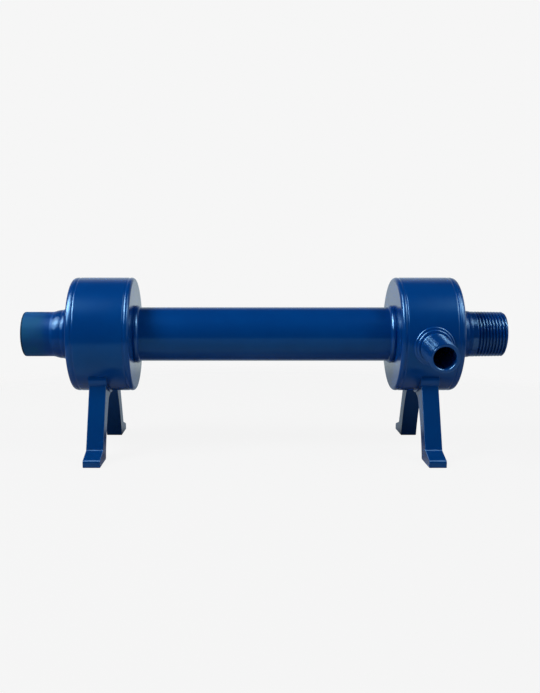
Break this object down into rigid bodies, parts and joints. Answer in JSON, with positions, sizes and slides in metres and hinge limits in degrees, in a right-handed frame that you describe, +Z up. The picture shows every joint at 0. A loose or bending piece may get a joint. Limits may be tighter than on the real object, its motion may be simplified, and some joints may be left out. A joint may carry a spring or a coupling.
{
  "type": "separator filter",
  "caption": "Welded in-line centrifugal separator: end drums joined by a long barrel, plain and threaded pipe ends on its axis, a purge nipple and splayed legs.",
  "frame": {"origin": "on the floor under the middle of the object's box", "axes": "+X along the flow from inlet to outlet, -Y towards the purge nipple, +Z up"},
  "size_m": [0.352, 0.1342, 0.1267],
  "materials": {
    "blue_enamel": "glossy deep blue enamel",
    "inlet_enamel": "satin blue enamel, thin and slightly green towards the end",
    "bare_steel": "bare turned steel"
  },
  "bodies": {
    "root": {"barrel_cap": "bare_steel", "barrel_inlet_weld": "blue_enamel", "barrel_outlet_weld": "blue_enamel", "barrel_tube": "blue_enamel", "deflector_plate": "bare_steel", "inlet_drum_inner_plate": "blue_enamel", "inlet_drum_inner_seam": "blue_enamel", "inlet_drum_outer_plate": "blue_enamel", "inlet_drum_outer_seam": "blue_enamel", "inlet_drum_shell": "blue_enamel", "inlet_front_leg": "blue_enamel", "inlet_front_leg_weld": "blue_enamel", "inlet_nipple": "inlet_enamel", "inlet_nipple_weld": "blue_enamel", "inlet_rear_leg": "blue_enamel", "inlet_rear_leg_weld": "blue_enamel", "outlet_drum_inner_plate": "blue_enamel", "outlet_drum_inner_seam": "blue_enamel", "outlet_drum_outer_plate": "blue_enamel", "outlet_drum_outer_seam": "blue_enamel", "outlet_drum_shell": "blue_enamel", "outlet_front_leg": "blue_enamel", "outlet_front_leg_weld": "blue_enamel", "outlet_nipple": "blue_enamel", "outlet_nipple_weld": "blue_enamel", "outlet_rear_leg": "blue_enamel", "outlet_rear_leg_weld": "blue_enamel", "purge_nipple": "blue_enamel", "purge_nipple_weld": "blue_enamel", "vortex_tube": "bare_steel"}
  },
  "joints": []
}
